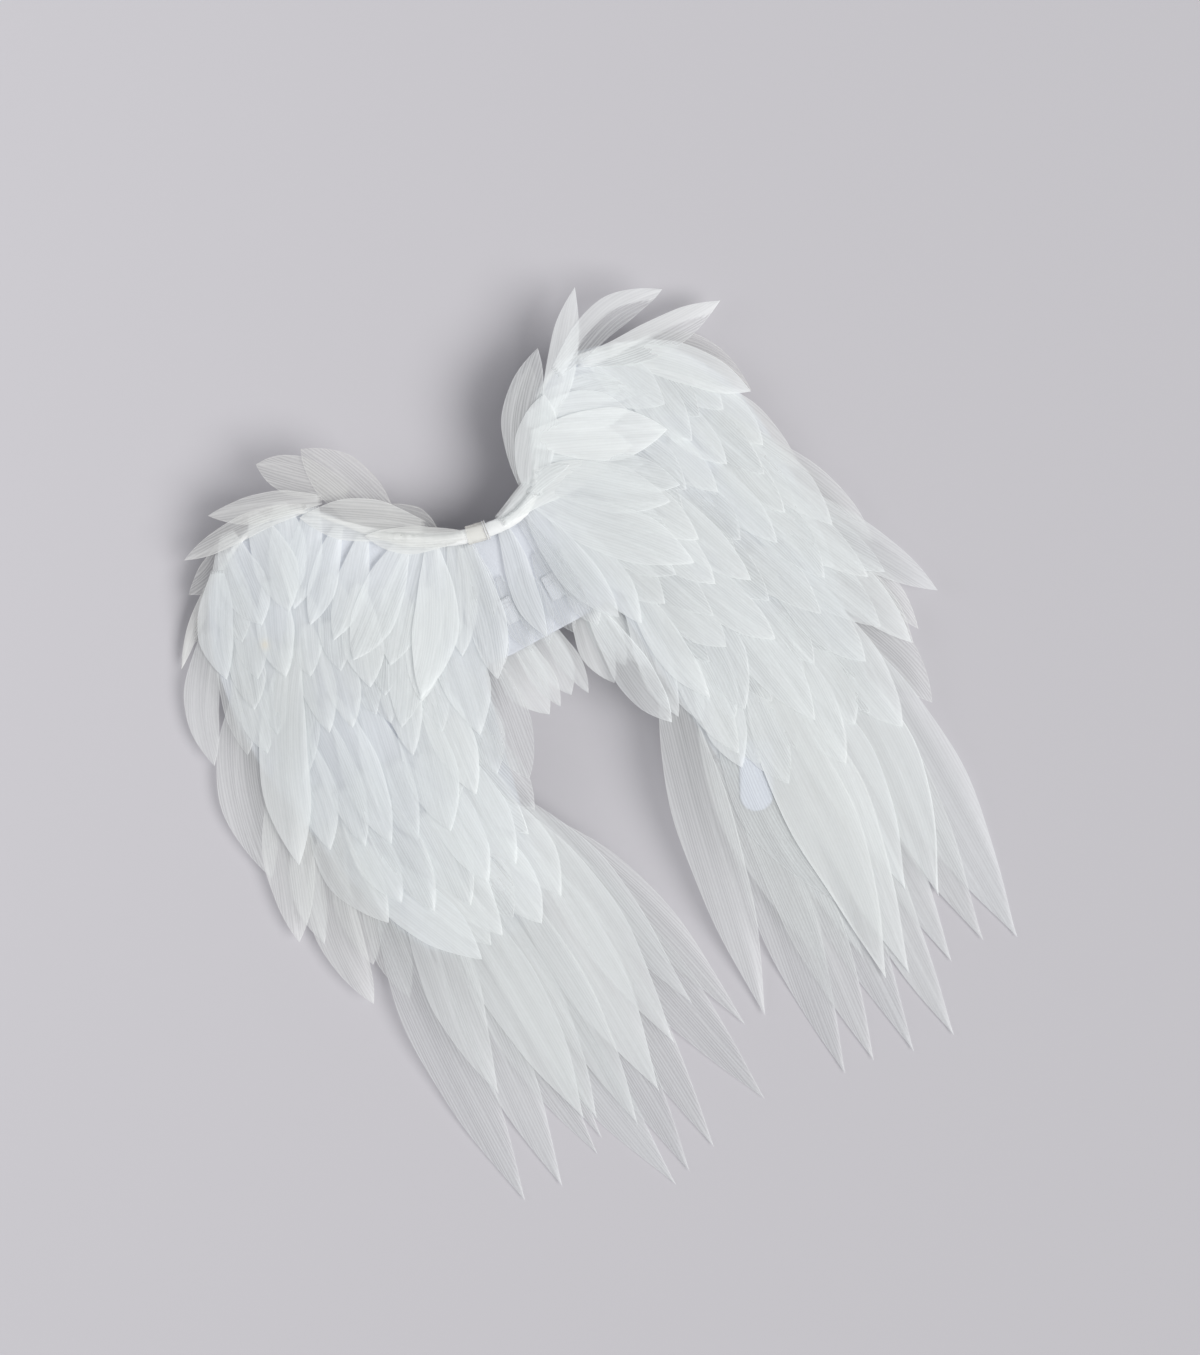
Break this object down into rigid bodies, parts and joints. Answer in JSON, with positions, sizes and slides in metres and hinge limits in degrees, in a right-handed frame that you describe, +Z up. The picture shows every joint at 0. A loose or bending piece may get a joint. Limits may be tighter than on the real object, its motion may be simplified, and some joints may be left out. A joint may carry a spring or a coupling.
{
  "type": "angel wings",
  "caption": "Pair of small dress-up angel wings: layered white leaf-shaped cloth petals on a felt panel with elastic shoulder loops.",
  "frame": {"origin": "below the middle of the whole pair, on the surface that it lies on", "axes": "+Z up through the petal side, +Y towards the shoulders' top edge, +X to the wing on the right"},
  "size_m": [0.4458, 0.5068, 0.0565],
  "materials": {
    "petal_cloth": "crinkled sheer",
    "felt": "matt felt",
    "binding": "matt woven",
    "wrap": "smooth tape",
    "elastic": "matt ribbed"
  },
  "bodies": {
    "root": {"backing": "felt", "edge_binding": "binding", "centre_wrap": "wrap", "left_row_1": "petal_cloth", "left_row_2": "petal_cloth", "left_row_3": "petal_cloth", "left_row_4": "petal_cloth", "left_row_5": "petal_cloth", "left_row_6": "petal_cloth", "left_row_7": "petal_cloth", "left_row_8": "petal_cloth", "right_row_1": "petal_cloth", "right_row_2": "petal_cloth", "right_row_3": "petal_cloth", "right_row_4": "petal_cloth", "right_row_5": "petal_cloth", "right_row_6": "petal_cloth", "right_row_7": "petal_cloth", "right_row_8": "petal_cloth", "centre_row_1": "petal_cloth", "centre_row_2": "petal_cloth", "centre_row_3": "petal_cloth", "left_outer_row": "petal_cloth", "right_outer_row": "petal_cloth", "left_crest_back": "petal_cloth", "right_crest_back": "petal_cloth", "left_crest_front": "petal_cloth", "right_crest_front": "petal_cloth", "left_tape_end": "elastic", "right_tape_end": "elastic", "left_shoulder_strap": "elastic", "right_shoulder_strap": "elastic"}
  },
  "joints": []
}
